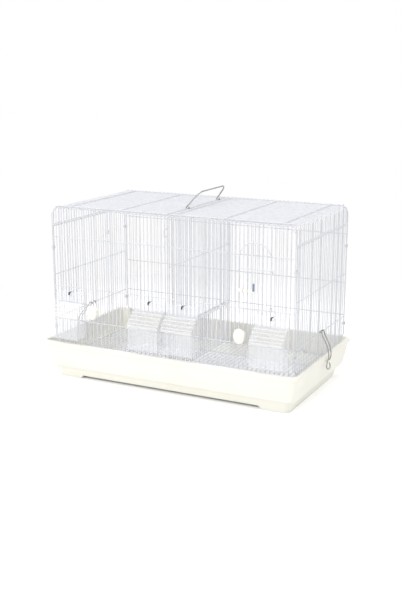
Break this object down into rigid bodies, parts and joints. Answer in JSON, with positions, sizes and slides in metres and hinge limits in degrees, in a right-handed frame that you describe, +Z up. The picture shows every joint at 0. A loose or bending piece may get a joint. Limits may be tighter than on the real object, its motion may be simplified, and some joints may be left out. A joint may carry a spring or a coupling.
{
  "type": "double bird cage",
  "caption": "Wire bird cage in two compartments on a moulded tray, with an arched door, outside feeders, a sliding divider and a carrying handle.",
  "frame": {"origin": "on the ground at the centre of the overall box, feeders included", "axes": "+X to the right as seen from the front, -Y out of the front, +Z up"},
  "size_m": [0.623, 0.368, 0.4305],
  "materials": {
    "white_wire": "white plastic-coated wire, satin",
    "ivory_plastic": "moulded ivory plastic, satin",
    "lilac_plastic": "pale lilac translucent plastic, glossy",
    "black_plastic": "moulded black plastic",
    "bright_steel": "bright zinc-plated steel wire",
    "grey_plastic": "moulded blue-grey plastic"
  },
  "bodies": {
    "cage_body": {"base_tray": "ivory_plastic", "floor_grille": "white_wire", "roof_panel": "white_wire", "back_panel": "white_wire", "left_side_panel": "white_wire", "right_side_panel": "white_wire", "left_front_panel": "white_wire", "right_front_panel": "white_wire", "lower_divider": "white_wire", "divider_rail": "white_wire", "left_front_rod": "white_wire", "right_front_rod": "white_wire", "left_rod_cap": "grey_plastic", "right_rod_cap": "grey_plastic", "left_oval_clip": "ivory_plastic", "right_oval_clip": "ivory_plastic", "right_lower_hinge_clip": "white_wire", "right_upper_hinge_clip": "white_wire", "left_front_lower_corner_clip": "white_wire", "left_front_upper_corner_clip": "white_wire", "left_back_lower_corner_clip": "white_wire", "left_back_upper_corner_clip": "white_wire", "right_front_lower_corner_clip": "white_wire", "right_front_upper_corner_clip": "white_wire", "right_back_lower_corner_clip": "white_wire", "right_back_upper_corner_clip": "white_wire"},
    "carry_handle": {"carry_handle": "bright_steel"},
    "centre_divider": {"centre_divider": "white_wire"},
    "left_hasp": {"left_hasp": "bright_steel"},
    "left_inner_feeder": {"left_inner_feeder": "lilac_plastic", "left_inner_feeder_hook": "black_plastic"},
    "left_outer_feeder": {"left_outer_feeder": "lilac_plastic", "left_outer_feeder_hook": "black_plastic"},
    "right_door": {"right_door": "white_wire"},
    "right_door_bolt": {"right_door_bolt": "ivory_plastic", "right_bolt_knob": "grey_plastic"},
    "right_hasp": {"right_hasp": "bright_steel"},
    "right_inner_feeder": {"right_inner_feeder": "lilac_plastic", "right_inner_feeder_hook": "black_plastic"},
    "right_outer_feeder": {"right_outer_feeder": "lilac_plastic", "right_outer_feeder_hook": "black_plastic"}
  },
  "joints": [
    {"name": "handle_swing", "type": "hinge", "parent": "cage_body", "child": "carry_handle", "pos_m": [-0.008, 0.0422, 0.3942], "axis": [0, 1, 0], "range_deg": [-104, 51]},
    {"name": "divider_slide", "type": "slide", "parent": "cage_body", "child": "centre_divider", "axis": [0, -1, 0], "range_m": [0, 0.25]},
    {"name": "left_hasp_hinge", "type": "hinge", "parent": "cage_body", "child": "left_hasp", "pos_m": [-0.2902, 0.012, 0.141], "axis": [0, 1, 0], "range_deg": [0, 75]},
    {"name": "left_inner_feeder_pull", "type": "slide", "parent": "cage_body", "child": "left_inner_feeder", "axis": [0, -1, 0], "range_m": [0, 0.05]},
    {"name": "left_outer_feeder_pull", "type": "slide", "parent": "cage_body", "child": "left_outer_feeder", "axis": [0, -1, 0], "range_m": [0, 0.05]},
    {"name": "right_door_hinge", "type": "hinge", "parent": "cage_body", "child": "right_door", "pos_m": [0.239, -0.1487, 0.217], "axis": [0, 0, 1], "range_deg": [0, 105]},
    {"name": "right_bolt_slide", "type": "slide", "parent": "right_door", "child": "right_door_bolt", "axis": [1, 0, 0], "range_m": [0, 0.009]},
    {"name": "right_hasp_hinge", "type": "hinge", "parent": "cage_body", "child": "right_hasp", "pos_m": [0.2902, 0.012, 0.141], "axis": [0, -1, 0], "range_deg": [0, 75]},
    {"name": "right_inner_feeder_pull", "type": "slide", "parent": "cage_body", "child": "right_inner_feeder", "axis": [0, -1, 0], "range_m": [0, 0.05]},
    {"name": "right_outer_feeder_pull", "type": "slide", "parent": "cage_body", "child": "right_outer_feeder", "axis": [0, -1, 0], "range_m": [0, 0.05]}
  ]
}
